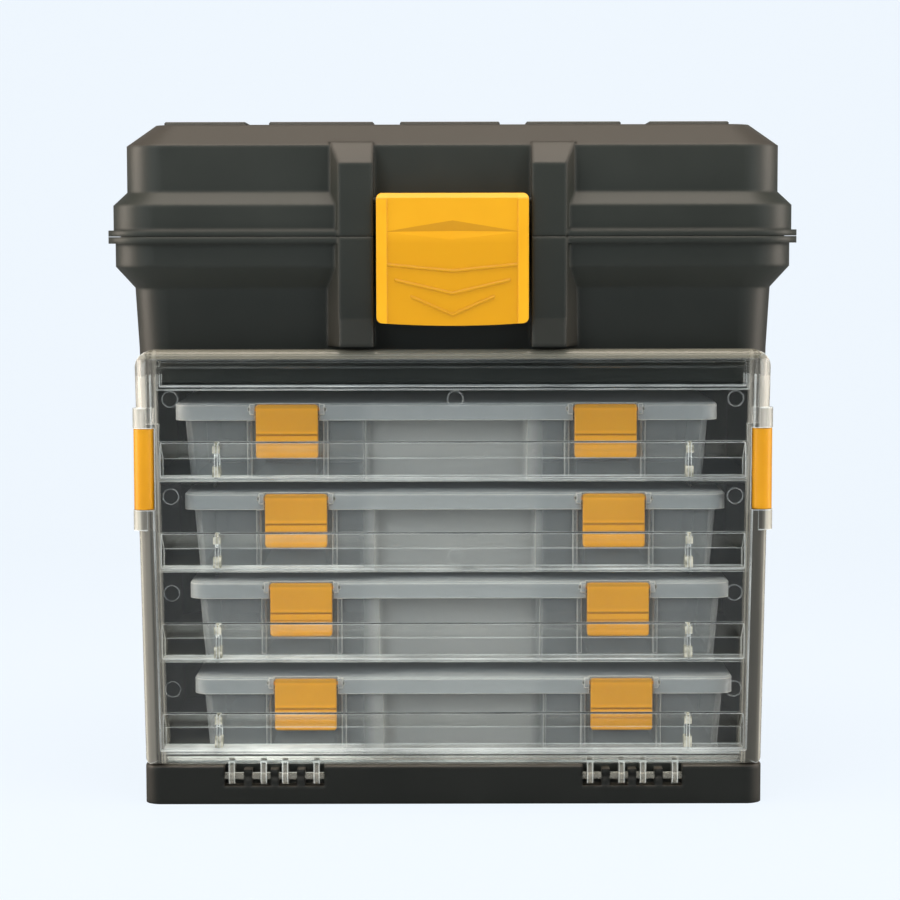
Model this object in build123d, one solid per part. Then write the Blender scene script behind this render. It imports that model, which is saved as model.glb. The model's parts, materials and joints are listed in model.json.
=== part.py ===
from build123d import *
import os

os.makedirs("parts", exist_ok=True)

# A carry box: a lidded tool compartment on top of a rack that holds four small-parts
# cases behind one clear drop-down door. Millimetres, +Z up, the front faces -Y.
# The origin is under the middle of the box, on the surface that it stands on.

# Gaps and fits: parts that move past each other, parts that rest on each other,
# a pin that turns in its bore.
CLEAR = 0.3
SEAT = 0.05
RUNNING = 0.08
CUT = 40.0

# Black shells: half width and half depth over the lips; the other half widths step in
# from the lips, and the front and back faces sit SIDE_TO_FRONT nearer the middle.
WALL = 3.0
HALF_LIP = 210.0
HALF_DEPTH = 121.0
SIDE_TO_FRONT = HALF_LIP - HALF_DEPTH
HALF_LID_SKIRT = HALF_LIP - 3.0
HALF_LID = HALF_LIP - 11.0
HALF_LID_TOP = HALF_LIP - 28.0
HALF_COLLAR = HALF_LIP - 4.0
HALF_TUB = HALF_LIP - 15.0
HALF_RACK_TOP = HALF_LIP - 17.0
HALF_RACK_FOOT = HALF_LIP - 21.0
LIP_CORNER = 28.0
TONGUE_THICK = 1.8
TONGUE_RISE = 4.0
CORNER_SHRINK = 0.45

# Black shells: heights
BASE_HEIGHT = 24.0
FLOOR_THICK = 2.5
DECK_LOW = 257.0
DECK_HIGH = DECK_LOW + 3.0
TUB_LOW = DECK_LOW + 21.0
TUB_HIGH = TUB_LOW + 37.0
COLLAR_LOW = TUB_HIGH + 13.0
LIP_LOW = COLLAR_LOW + 14.0
SEAM = LIP_LOW + 4.0
LID_LIP_HIGH = SEAM + 4.0
SKIRT_HIGH = LID_LIP_HIGH + 15.0
LID_LOW = SKIRT_HIGH + 8.0
LID_HIGH = LID_LOW + 28.0
LID_TOP = LID_HIGH + 13.0
BAND_HEIGHT = 2.0
BAND_CENTRES = (-151.0, -80.0, -1.5, 74.0, 144.5)
BAND_WIDTHS = (50.0, 64.0, 61.0, 58.0, 49.0)
BAND_HALF_LENGTH = 87.0

# Base
BASE_FRONT = 1.0 - HALF_DEPTH
BASE_CORNER = 10.0
BASE_CHAMFER = 2.0
BASE_RIBS = (-126.0, -63.0, 0.0, 63.0, 126.0)

# Rack
RACK_FRONT = 33.0 - HALF_DEPTH
RAIL_THICK = 2.5
RAIL_INNER = HALF_RACK_FOOT - 43.0

# Pilasters beside the front latch, and the recess between them
PILASTER_INNER = 47.6
PILASTER_FACE = 68.3
PILASTER_ROOT = 75.6
PILASTER_FRONT = -2.0 - HALF_DEPTH
PILASTER_LOW = TUB_LOW + 2.0
PILASTER_FOOT = PILASTER_LOW + 17.0
PILASTER_TOE = PILASTER_FRONT - 3.5
PILASTER_HIGH = LID_HIGH - 11.0
LID_RECESS = PILASTER_FRONT + 13.0
TUB_RECESS = PILASTER_FRONT + 17.0

# Lid hinges
HINGE_Y = HALF_DEPTH + 4.0
HINGE_R = 4.0
HINGE_PIN_R = 1.6
HINGE_X = HALF_LIP - 90.0
HINGE_HALF = 28.0
LID_KNUCKLE_HALF = 13.0

# Front latch of the lid
LATCH_HALF = 45.6
LATCH_FACE = PILASTER_FRONT - 5.2
LATCH_RELIEF = 0.8
LATCH_WALL = 2.6
LATCH_BACK = LATCH_FACE + 15.2
LATCH_LOW = SEAM - 51.5
LATCH_HIGH = SEAM + 26.0
LATCH_SAG = 1.8
LATCH_AXIS_Y = LATCH_BACK - 3.5
LATCH_AXIS_Z = LATCH_HIGH - 4.5
LATCH_BARREL_R = 4.0
LATCH_PIN_R = 2.0
LATCH_PIN_HALF = 54.0
LATCH_RAIL = 6.4
HOLD_HALF = 46.0
HOLD_Z = SEAM + 3.4
HOLD_UPPER = 7.0
HOLD_LOWER = 5.8
HOLD_DEPTH = 1.7
CHEVRONS = ((39.0, SEAM - 16.8, 3.8), (34.5, SEAM - 26.0, 8.0), (25.0, SEAM - 35.8, 11.0))
CHEVRON_THICK = 1.8
CHEVRON_OUT = 0.8
CATCH_LOW = SEAM - 28.0
CATCH_HIGH = CATCH_LOW + 4.0
CATCH_OUT = 6.0

# Carry handle, folded down in its pocket
POCKET_HALF = 88.0
POCKET_FRONT = -46.0
POCKET_BACK = 24.0
POCKET_FLOOR = LID_TOP - 21.0
HANDLE_HALF = POCKET_HALF - 0.6
HANDLE_ARM = 10.0
HANDLE_BAR_Y = POCKET_FRONT + 12.0
HANDLE_BAR_R = 7.0
HANDLE_ARM_R = 6.0
HANDLE_AXIS_Y = POCKET_BACK - 12.0
HANDLE_AXIS_Z = LID_TOP - 9.5
HANDLE_PIN_R = 2.5
HANDLE_PIN_LENGTH = 15.0
HANDLE_BOSS_R = 6.5

# Clear door
DOOR_HALF_FOOT = HALF_RACK_FOOT - 0.5
DOOR_HALF_TOP = HALF_RACK_TOP - 0.2
DOOR_FRONT = -1.0 - HALF_DEPTH
DOOR_LOW = BASE_HEIGHT + 1.0
DOOR_TOP = TUB_LOW
DOOR_WALL = 2.2
DOOR_STEP = DOOR_TOP - 24.0
DOOR_STEP_BACK = DOOR_FRONT + 13.7
DOOR_SILL_BACK = DOOR_FRONT + 12.0
DOOR_EDGE_R = 9.0
DOOR_CORNER_R = 12.0
DOOR_ROUND = 5.0
DOOR_BORDER = 10.0
PANEL_FRONT = DOOR_FRONT + 3.0

# Ledges moulded into the door, each a channel with a level floor
LEDGE_LOW = DOOR_LOW + 9.4
LEDGE_PITCH = (DECK_LOW - 35.4) / 4
LEDGE_COUNT = 5
LEDGE_HALF = HALF_RACK_FOOT - 12.0
LEDGE_IN = DOOR_FRONT + 15.5
TOP_LEDGE_IN = DOOR_FRONT + 11.5
LEDGE_FACE = 10.7
LEDGE_HEIGHT = 21.0
TOP_LEDGE_HEIGHT = 14.5
FIN_X = LEDGE_HALF - 33.5
FIN_THICK = 2.2
MARK_R = 4.7
MARK_OUT = 0.15
MARK_X = LEDGE_HALF - 6.0
MARK_LOW = LEDGE_LOW + 36.6
MARK_PITCH = LEDGE_PITCH + 3.7

# Door hinge: fingers on the door turn on rods that the base holds in clips
DOOR_AXIS_Y = DOOR_FRONT + 5.0
DOOR_AXIS_Z = 17.0
DOOR_HINGE_X = HALF_RACK_FOOT - 79.5
FINGER_X = tuple(DOOR_HINGE_X + step for step in (-25.9, -6.7, 6.4, 25.9))
FINGER_THICK = 3.6
FINGER_R = 5.0
ROD_R = 2.2
ROD_LOW = DOOR_HINGE_X - 32.5
ROD_HIGH = DOOR_HINGE_X + 32.5
CLIP_X = tuple(DOOR_HINGE_X + step for step in (-16.3, -0.1, 16.1))
CLIP_THICK = 5.0
SLOT_LOW = DOOR_HINGE_X - 30.5
SLOT_HIGH = DOOR_HINGE_X + 30.5
SLOT_FLOOR = 11.0
SLOT_BACK = DOOR_AXIS_Y + 6.2

# Side latches of the door
SIDE_X = HALF_RACK_FOOT - 1.5
SIDE_Y = DOOR_FRONT + 6.5
SIDE_R = 5.9
SIDE_LOW = DOOR_TOP - 96.7
SIDE_HIGH = SIDE_LOW + 49.0
SIDE_PIN_R = 1.5
SIDE_BOSS_R = 6.5
SIDE_BOSS = 12.3
SIDE_LEG_THICK = 2.5
SIDE_LEG_BACK = RACK_FRONT + 8.0
SIDE_POCKET = HALF_RACK_FOOT + 1.6

# Small-parts cases, number 1 on top. Each stands a little to one side, as placed.
CASE_LOW = BASE_HEIGHT + FLOOR_THICK + 0.35
CASE_RISE = 4.5
CASE_SHIFT = (-4.0, 1.2, 4.0, 6.4)
CASE_PITCH = (DECK_LOW - 37.0) / len(CASE_SHIFT)
CASE_HEIGHT = CASE_PITCH - 7.0
CASE_LID_HALF = HALF_RACK_FOOT - 22.5
CASE_FRONT = RACK_FRONT - 11.5
CASE_BACK = HALF_DEPTH - 30.5
CASE_TOP = 1.8
CASE_WALL = 1.5
CASE_SKIRT = 10.4
CASE_GAP = 5.0
CASE_TAPER = 3.5
CASE_CORNER = 10.0
GRIP_HALF = 49.5
GRIP_DEPTH = 12.0
CASE_LATCH_X = 97.4
CASE_LATCH_HALF = 19.0
CASE_LATCH_LENGTH = 32.5
CASE_LATCH_OUT = 3.8
CASE_LATCH_THICK = 2.2
CASE_PIVOT_IN = 1.0
CASE_PIVOT_DOWN = 3.5
CASE_PIVOT_R = 1.2
CASE_BARREL_R = 2.4
CASE_TAB = 3.0
CASE_ROD_R = 1.3
CASE_KNUCKLE_R = 2.6
CASE_ROD_IN = -0.6
CASE_ROD_DOWN = 6.6
CASE_KNUCKLE_X = 80.0
CASE_ROD_HALF = CASE_KNUCKLE_X + 16.0
DIVIDER_THICK = 1.2
DIVIDER_HEIGHT = CASE_HEIGHT - 12.0


def box(x0, x1, y0, y1, z0, z1):
    """A box between two opposite corners."""
    return Pos((x0 + x1) / 2, (y0 + y1) / 2, (z0 + z1) / 2) * Box(x1 - x0, y1 - y0, z1 - z0)


def rod_x(x0, x1, y, z, radius):
    """A cylinder along X."""
    return Pos((x0 + x1) / 2, y, z) * Rot(0, 90, 0) * Cylinder(radius, x1 - x0)


def rod_y(x, y0, y1, z, radius):
    """A cylinder along Y."""
    return Pos(x, (y0 + y1) / 2, z) * Rot(90, 0, 0) * Cylinder(radius, y1 - y0)


def rod_z(x, y, z0, z1, radius):
    """A cylinder along Z."""
    return Pos(x, y, (z0 + z1) / 2) * Cylinder(radius, z1 - z0)


def prism_x(points, x0, x1):
    """A solid from an outline of (y, z) points, carried along X."""
    outline = make_face(Polyline(*points, close=True))
    return extrude(Plane.YZ.offset(x0) * outline, x1 - x0)


def prism_y(points, y0, y1, radii=None):
    """A solid from an outline of (x, z) points, carried along Y; radii round its corners."""
    outline = make_face(Polyline(*points, close=True))
    if radii:
        for (x, z), radius in zip(points, radii):
            corner = [v for v in outline.vertices() if abs(v.X - x) + abs(v.Y - z) < 0.01]
            outline = fillet(corner, radius)
    plane = Plane(origin=(0, y0, 0), x_dir=(1, 0, 0), z_dir=(0, -1, 0))
    return extrude(plane * outline, -(y1 - y0))


def prism_z(points, z0, z1):
    """A solid from an outline of (x, y) points, carried along Z."""
    outline = make_face(Polyline(*points, close=True))
    return extrude(Plane.XY.offset(z0) * outline, z1 - z0)


def mirrored(solid):
    """The same solid on the other side of the box."""
    return mirror(solid, Plane.YZ)


def both_sides(solid):
    """A solid together with its mirror image."""
    return solid + mirrored(solid)


def plan(half, inset, z):
    """The rounded plan of a black shell at height z."""
    corner = LIP_CORNER - CORNER_SHRINK * (HALF_LIP - half) - inset
    width = 2 * (half - inset)
    return Pos(0, 0, z) * RectangleRounded(width, width - 2 * SIDE_TO_FRONT, corner)


def shell(profile, inset=0.0):
    """A drafted body through (half width, height) stations, drawn in by inset."""
    return loft([plan(half, inset, z) for half, z in profile], ruled=True)


def plate(half, z0, z1):
    """A flat rim plate."""
    return extrude(plan(half, 0.0, z0), z1 - z0)


def pilaster(inset, root, profile):
    """The right-hand pilaster beside the latch, drawn in by inset."""
    column = prism_z(
        [
            (PILASTER_INNER + inset, root),
            (PILASTER_INNER + inset, -200.0),
            (PILASTER_FACE - inset, -200.0),
            (PILASTER_FACE - inset, PILASTER_FRONT + inset),
            (PILASTER_ROOT - inset, TUB_RECESS + inset),
            (PILASTER_ROOT - inset, root),
        ],
        200.0,
        500.0,
    )
    return column & prism_x(profile, 0.0, 200.0)


# Base: a ribbed tray turned upside down, with a slot at each door hinge

base_back = HALF_RACK_FOOT - SIDE_TO_FRONT
base_depth = base_back - BASE_FRONT
base_mid = (base_back + BASE_FRONT) / 2
base = extrude(
    Pos(0, base_mid, 0) * RectangleRounded(2 * HALF_RACK_FOOT, base_depth, BASE_CORNER), BASE_HEIGHT
)
base = chamfer(base.edges().group_by(Axis.Z)[-1], BASE_CHAMFER - 0.8)
base -= extrude(
    Pos(0, base_mid + 6.0, 0)
    * RectangleRounded(2 * HALF_RACK_FOOT - 2 * WALL, base_depth - 12.0 - 2 * WALL, BASE_CORNER - WALL),
    BASE_HEIGHT - WALL,
)
for rib_x in BASE_RIBS:
    base += box(rib_x - 1.2, rib_x + 1.2, BASE_FRONT + 8.0, base_back - 1.0, 2.0, BASE_HEIGHT - 1.0)
base += box(1.0 - HALF_RACK_FOOT, HALF_RACK_FOOT - 1.0, -1.2, 1.2, 2.0, BASE_HEIGHT - 1.0)
base -= both_sides(box(SLOT_LOW, SLOT_HIGH, BASE_FRONT - 1.0, SLOT_BACK, SLOT_FLOOR, BASE_HEIGHT + 1.0))
for clip_x in CLIP_X:
    clip = box(
        clip_x - CLIP_THICK / 2,
        clip_x + CLIP_THICK / 2,
        BASE_FRONT + 0.6,
        SLOT_BACK + 0.5,
        SLOT_FLOOR - 0.5,
        DOOR_AXIS_Z + ROD_R + 2.0,
    )
    base += both_sides(clip)
base -= both_sides(rod_x(ROD_LOW, ROD_HIGH, DOOR_AXIS_Y, DOOR_AXIS_Z, ROD_R))
export_step(base, "parts/base_plinth.step")

rod = rod_x(ROD_LOW + SEAT, ROD_HIGH - SEAT, DOOR_AXIS_Y, DOOR_AXIS_Z, ROD_R)
export_step(rod, "parts/door_hinge_rod_right.step")
export_step(mirrored(rod), "parts/door_hinge_rod_left.step")

# Cabinet: rack below, tool compartment above, one moulding

floor_low = BASE_HEIGHT + SEAT
floor_high = BASE_HEIGHT + FLOOR_THICK
cabinet_profile = [
    (HALF_RACK_FOOT, floor_low),
    (HALF_RACK_TOP, TUB_LOW),
    (HALF_TUB, TUB_HIGH),
    (HALF_COLLAR, COLLAR_LOW),
    (HALF_COLLAR, SEAM),
]
tub_pilaster = [
    (-60.0, PILASTER_LOW),
    (PILASTER_TOE, PILASTER_LOW),
    (PILASTER_FRONT, PILASTER_FOOT),
    (PILASTER_FRONT, SEAM),
    (-60.0, SEAM),
]
cabinet = shell(cabinet_profile) + plate(HALF_LIP, LIP_LOW, SEAM)
cabinet += both_sides(pilaster(0.0, -95.0, tub_pilaster))
cabinet -= box(-PILASTER_INNER, PILASTER_INNER, -200.0, TUB_RECESS, DECK_LOW - 1.0, SEAM + 1.0)
cabinet -= box(-300.0, 300.0, -200.0, RACK_FRONT, 0.0, DECK_LOW)

hollow_rack = shell(
    [(HALF_RACK_FOOT, floor_high), (HALF_RACK_TOP, TUB_LOW)], WALL
) - box(-300.0, 300.0, -200.0, 200.0, DECK_LOW, 400.0)
tub_low_half = HALF_RACK_TOP - 0.3
hollow_tub = shell(
    [
        (tub_low_half, DECK_HIGH),
        (HALF_RACK_TOP, TUB_LOW),
        (HALF_TUB, TUB_HIGH + 1.5),
        (HALF_COLLAR, COLLAR_LOW + 1.5),
        (HALF_COLLAR, SEAM + 1.0),
    ],
    WALL,
)
tub_pilaster_inside = [
    (-60.0, PILASTER_LOW + WALL),
    (PILASTER_FRONT + WALL, PILASTER_LOW + WALL),
    (PILASTER_FRONT + WALL, SEAM + 1.0),
    (-60.0, SEAM + 1.0),
]
hollow_tub += both_sides(pilaster(WALL, -95.0, tub_pilaster_inside))
recess_half = PILASTER_INNER + WALL
hollow_tub -= box(-recess_half, recess_half, -200.0, TUB_RECESS + WALL, 200.0, 500.0)
cabinet = cabinet - hollow_rack - hollow_tub

tongue = plate(HALF_COLLAR - WALL + 0.1, SEAM - 5.0, SEAM + TONGUE_RISE) - plate(
    HALF_COLLAR - WALL - TONGUE_THICK, SEAM - 6.0, SEAM + TONGUE_RISE + 1.0
)
tongue_side = recess_half + CLEAR + 0.2
tongue -= box(-tongue_side - 0.5, tongue_side + 0.5, -200.0, 0.0, 300.0, 400.0)
tongue += both_sides(
    box(tongue_side, tongue_side + TONGUE_THICK, PILASTER_FRONT + 8.0, TUB_RECESS + 2.0, SEAM - 5.0, SEAM + TONGUE_RISE)
    + box(recess_half - 0.5, tongue_side + TONGUE_THICK, PILASTER_FRONT + 8.0, TUB_RECESS + 2.0, SEAM - 5.0, SEAM - 0.2)
)
tongue += box(
    -tongue_side - TONGUE_THICK, tongue_side + TONGUE_THICK, TUB_RECESS + 0.4, TUB_RECESS + WALL,
    SEAM - 5.0, SEAM + TONGUE_RISE,
)
cabinet += tongue

for level in range(1, len(CASE_SHIFT)):
    rail_high = CASE_LOW + CASE_RISE + level * CASE_PITCH - CLEAR
    rail = box(RAIL_INNER, HALF_RACK_FOOT - 1.5, RACK_FRONT + 2.0, base_back - 1.5, rail_high - RAIL_THICK, rail_high)
    rail += box(RAIL_INNER, RAIL_INNER + 2.0, RACK_FRONT + 2.0, base_back - 1.5, rail_high - 4.5, rail_high)
    cabinet += both_sides(rail & box(0, 300, -200, 200, 0, 300) & shell(cabinet_profile, WALL / 2))

side_pocket = box(SIDE_POCKET, HALF_LIP + CUT, RACK_FRONT - 1.0, SIDE_LEG_BACK + 3.0, SIDE_LOW - 2.6, SIDE_HIGH + 2.6)
cabinet -= both_sides(side_pocket)
cabinet += box(-30.0, 30.0, TUB_RECESS - CATCH_OUT, TUB_RECESS + 1.0, CATCH_LOW, CATCH_HIGH)

for low, high in ((HINGE_X - HINGE_HALF, HINGE_X - LID_KNUCKLE_HALF - CLEAR),
                  (HINGE_X + LID_KNUCKLE_HALF + CLEAR, HINGE_X + HINGE_HALF)):
    knuckle = rod_x(low, high, HINGE_Y, SEAM, HINGE_R)
    knuckle += box(low, high, HALF_COLLAR - SIDE_TO_FRONT, HINGE_Y, SEAM - HINGE_R - 4.0, SEAM)
    cabinet += both_sides(knuckle)
cabinet -= both_sides(
    box(
        HINGE_X - LID_KNUCKLE_HALF - CLEAR,
        HINGE_X + LID_KNUCKLE_HALF + CLEAR,
        HINGE_Y - HINGE_R - 0.8,
        HINGE_Y + 10.0,
        SEAM - 8.0,
        SEAM + 1.0,
    )
)
cabinet -= both_sides(rod_x(HINGE_X - HINGE_HALF - 1, HINGE_X + HINGE_HALF + 1, HINGE_Y, SEAM, HINGE_PIN_R))
export_step(cabinet, "parts/cabinet_body.step")

pin = rod_x(HINGE_X - HINGE_HALF, HINGE_X + HINGE_HALF, HINGE_Y, SEAM, HINGE_PIN_R)
export_step(pin, "parts/lid_hinge_pin_right.step")
export_step(mirrored(pin), "parts/lid_hinge_pin_left.step")

# Lid of the tool compartment, with the pocket that the carry handle lies in

lid_low = SEAM + CLEAR
lid_pilaster = [
    (-60.0, lid_low),
    (PILASTER_FRONT, lid_low),
    (PILASTER_FRONT, PILASTER_HIGH),
    (LID_RECESS, PILASTER_HIGH - PILASTER_FRONT + LID_RECESS),
    (-60.0, PILASTER_HIGH - PILASTER_FRONT + LID_RECESS),
]
lid_pilaster_inside = [
    (-60.0, lid_low - 1.0),
    (PILASTER_FRONT + WALL, lid_low - 1.0),
    (PILASTER_FRONT + WALL, PILASTER_HIGH - 1.2),
    (LID_RECESS + WALL, PILASTER_HIGH - PILASTER_FRONT + LID_RECESS - 1.2),
    (-60.0, PILASTER_HIGH - PILASTER_FRONT + LID_RECESS - 1.2),
]
lid = shell(
    [
        (HALF_LID_SKIRT, lid_low),
        (HALF_LID_SKIRT, SKIRT_HIGH),
        (HALF_LID, LID_LOW),
        (HALF_LID, LID_HIGH),
        (HALF_LID_TOP, LID_TOP),
    ]
)
lid += plate(HALF_LIP, lid_low, LID_LIP_HIGH)
lid += both_sides(pilaster(0.0, -85.0, lid_pilaster))
lid -= box(-PILASTER_INNER, PILASTER_INNER, -200.0, LID_RECESS, lid_low - 1.0, LID_LOW + 60.0)
for centre, width in zip(BAND_CENTRES, BAND_WIDTHS):
    band = box(
        centre - width / 2,
        centre + width / 2,
        -BAND_HALF_LENGTH,
        BAND_HALF_LENGTH,
        LID_TOP - 1.0,
        LID_TOP + BAND_HEIGHT,
    )
    lid += chamfer(band.edges().group_by(Axis.Z)[-1], 0.8)

hollow_lid = shell(
    [
        (HALF_LID_SKIRT, lid_low - 1.0),
        (HALF_LID_SKIRT, SKIRT_HIGH - 1.2),
        (HALF_LID, LID_LOW - 1.2),
        (HALF_LID, LID_HIGH - 1.2),
        (HALF_LID_TOP + 2.0, LID_TOP - WALL),
    ],
    WALL,
)
hollow_lid += both_sides(pilaster(WALL, -85.0, lid_pilaster_inside))
hollow_lid -= box(-recess_half, recess_half, -200.0, LID_RECESS + WALL, 200.0, 500.0)
hollow_lid -= box(
    -POCKET_HALF - WALL,
    POCKET_HALF + WALL,
    POCKET_FRONT - WALL,
    POCKET_BACK + WALL,
    POCKET_FLOOR - WALL,
    500.0,
)
for side in (-1, 1):
    boss_x = side * (POCKET_HALF + 4.5)
    hollow_lid -= rod_x(boss_x - 4.5, boss_x + 4.5, HANDLE_AXIS_Y, HANDLE_AXIS_Z - 1.0, HANDLE_BOSS_R)
lid -= hollow_lid
lid -= box(-POCKET_HALF, POCKET_HALF, POCKET_FRONT, POCKET_BACK, POCKET_FLOOR, 500.0)
handle_pin_low = HANDLE_HALF - HANDLE_ARM + 2.0
handle_pin_high = handle_pin_low + HANDLE_PIN_LENGTH
lid -= both_sides(
    rod_x(POCKET_HALF - 1.0, handle_pin_high + SEAT, HANDLE_AXIS_Y, HANDLE_AXIS_Z, HANDLE_PIN_R)
)
lid -= rod_x(-LATCH_PIN_HALF, LATCH_PIN_HALF, LATCH_AXIS_Y, LATCH_AXIS_Z, LATCH_PIN_R)
lid_knuckle = rod_x(
    HINGE_X - LID_KNUCKLE_HALF, HINGE_X + LID_KNUCKLE_HALF, HINGE_Y, SEAM, HINGE_R
)
lid_knuckle += box(
    HINGE_X - LID_KNUCKLE_HALF,
    HINGE_X + LID_KNUCKLE_HALF,
    HALF_LID_SKIRT - SIDE_TO_FRONT - 1.0,
    HINGE_Y,
    lid_low,
    LID_LIP_HIGH + 4.0,
)
for low, high in ((HINGE_X - HINGE_HALF, HINGE_X - LID_KNUCKLE_HALF),
                  (HINGE_X + LID_KNUCKLE_HALF, HINGE_X + HINGE_HALF)):
    lid -= both_sides(
        box(low - CLEAR, high + CLEAR, HINGE_Y - HINGE_R - 0.9, HINGE_Y + 10.0, lid_low - 1.0, LID_LIP_HIGH + 1.0)
    )
lid_knuckle -= box(0, 300, HINGE_Y - 0.2, HINGE_Y + 20, SEAM + HINGE_R, 500)
lid += both_sides(lid_knuckle)
lid -= both_sides(
    rod_x(HINGE_X - HINGE_HALF - 1, HINGE_X + HINGE_HALF + 1, HINGE_Y, SEAM, HINGE_PIN_R + RUNNING)
)
export_step(lid, "parts/lid_shell.step")

latch_pin = rod_x(-LATCH_PIN_HALF + SEAT, LATCH_PIN_HALF - SEAT, LATCH_AXIS_Y, LATCH_AXIS_Z, LATCH_PIN_R)
export_step(latch_pin, "parts/lid_latch_pin.step")

# Front latch: a wide moulded flap with raised rails and three raised chevrons

latch_side = [
    (LATCH_FACE, LATCH_LOW - LATCH_SAG),
    (LATCH_FACE, LATCH_HIGH - 3.0),
    (LATCH_FACE + 3.0, LATCH_HIGH),
    (LATCH_BACK - 2.0, LATCH_HIGH),
    (LATCH_BACK, LATCH_AXIS_Z),
    (LATCH_BACK, LATCH_LOW + 14.0),
    (LATCH_BACK - 7.0, LATCH_LOW - LATCH_SAG),
]
latch = prism_x(latch_side, -LATCH_HALF, LATCH_HALF)
latch -= prism_x(
    [
        (LATCH_FACE + LATCH_WALL, LATCH_LOW - 20.0),
        (LATCH_FACE + LATCH_WALL, LATCH_HIGH - LATCH_WALL - 1.5),
        (LATCH_FACE + LATCH_WALL + 1.5, LATCH_HIGH - LATCH_WALL),
        (0.0, LATCH_HIGH - LATCH_WALL),
        (0.0, LATCH_LOW - 20.0),
    ],
    -LATCH_HALF + LATCH_WALL,
    LATCH_HALF - LATCH_WALL,
)
latch += rod_x(-LATCH_HALF, LATCH_HALF, LATCH_AXIS_Y, LATCH_AXIS_Z, LATCH_BARREL_R)
latch += box(-30.0, 30.0, LATCH_FACE + 1.0, TUB_RECESS - CATCH_OUT - 0.5, CATCH_LOW - 4.0, CATCH_LOW - 1.0)
for rib_x in (-22.0, 0.0, 22.0):
    latch += box(rib_x - 1.0, rib_x + 1.0, LATCH_FACE + 1.0, LATCH_BACK - 6.0, LATCH_LOW + 4.0, LATCH_AXIS_Z)
relief_low = LATCH_FACE - LATCH_RELIEF
for side in (-1, 1):
    rail_x = side * (LATCH_HALF - LATCH_RAIL / 2)
    latch += box(
        rail_x - LATCH_RAIL / 2, rail_x + LATCH_RAIL / 2, relief_low, LATCH_FACE + 1.0,
        LATCH_LOW - LATCH_SAG, LATCH_HIGH - 3.5,
    )
inner_half = LATCH_HALF - LATCH_RAIL
hold_outline = Plane(origin=(0, LATCH_FACE - 0.2, 0), x_dir=(1, 0, 0), z_dir=(0, -1, 0)) * make_face(
    Polyline((-HOLD_HALF, HOLD_Z - 0.6), (0, HOLD_Z - HOLD_LOWER), (HOLD_HALF, HOLD_Z - 0.6), (0, HOLD_Z + HOLD_UPPER),
             close=True)
)
hold = loft([hold_outline, Vertex(0, LATCH_FACE + HOLD_DEPTH, HOLD_Z)], ruled=True)
latch -= hold & box(0.3 - inner_half, inner_half - 0.3, LATCH_FACE - 2.0, LATCH_BACK, LATCH_LOW, LATCH_HIGH)
for reach, high, drop in CHEVRONS:
    for half_thick, out in ((CHEVRON_THICK / 2, CHEVRON_OUT / 2), (CHEVRON_THICK / 3.5, CHEVRON_OUT)):
        chevron = [
            (-reach, high + half_thick), (0.0, high - drop + half_thick), (reach, high + half_thick),
            (reach, high - half_thick), (0.0, high - drop - half_thick), (-reach, high - half_thick),
        ]
        latch += prism_y(chevron, LATCH_FACE - out, LATCH_FACE + 0.5)
latch_plan = make_face(
    Polyline(
        (LATCH_HALF, LATCH_LOW), (LATCH_HALF, LATCH_HIGH), (-LATCH_HALF, LATCH_HIGH), (-LATCH_HALF, LATCH_LOW)
    )
    + ThreePointArc((-LATCH_HALF, LATCH_LOW), (0.0, LATCH_LOW - LATCH_SAG), (LATCH_HALF, LATCH_LOW))
)
latch_plan = fillet(latch_plan.vertices(), 3.5)
latch &= extrude(Plane(origin=(0, -100, 0), x_dir=(1, 0, 0), z_dir=(0, -1, 0)) * latch_plan, 60.0)
latch -= rod_x(-LATCH_HALF - 1, LATCH_HALF + 1, LATCH_AXIS_Y, LATCH_AXIS_Z, LATCH_PIN_R + RUNNING)
export_step(latch, "parts/lid_latch.step")

# Carry handle: a round bar between two flat arms

arm = box(
    HANDLE_HALF - HANDLE_ARM, HANDLE_HALF, HANDLE_BAR_Y, HANDLE_AXIS_Y,
    HANDLE_AXIS_Z - HANDLE_ARM_R, HANDLE_AXIS_Z + HANDLE_ARM_R,
)
arm += rod_x(HANDLE_HALF - HANDLE_ARM, HANDLE_HALF, HANDLE_AXIS_Y, HANDLE_AXIS_Z, HANDLE_ARM_R)
handle = rod_x(-HANDLE_HALF, HANDLE_HALF, HANDLE_BAR_Y, HANDLE_AXIS_Z, HANDLE_BAR_R) + both_sides(arm)
for groove in range(-4, 5):
    ring = rod_x(groove * 12.0 - 1.2, groove * 12.0 + 1.2, HANDLE_BAR_Y, HANDLE_AXIS_Z, HANDLE_BAR_R + 1.0)
    ring -= rod_x(groove * 12.0 - 2.0, groove * 12.0 + 2.0, HANDLE_BAR_Y, HANDLE_AXIS_Z, HANDLE_BAR_R - 0.8)
    handle -= ring
handle_pin = rod_x(handle_pin_low, handle_pin_high, HANDLE_AXIS_Y, HANDLE_AXIS_Z, HANDLE_PIN_R)
handle -= both_sides(
    rod_x(handle_pin_low - SEAT, handle_pin_high, HANDLE_AXIS_Y, HANDLE_AXIS_Z, HANDLE_PIN_R + RUNNING)
)
export_step(handle, "parts/carry_handle.step")
export_step(handle_pin, "parts/handle_pin_right.step")
export_step(mirrored(handle_pin), "parts/handle_pin_left.step")

# Clear door: a shallow tray standing on its edge, open at the back


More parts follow.
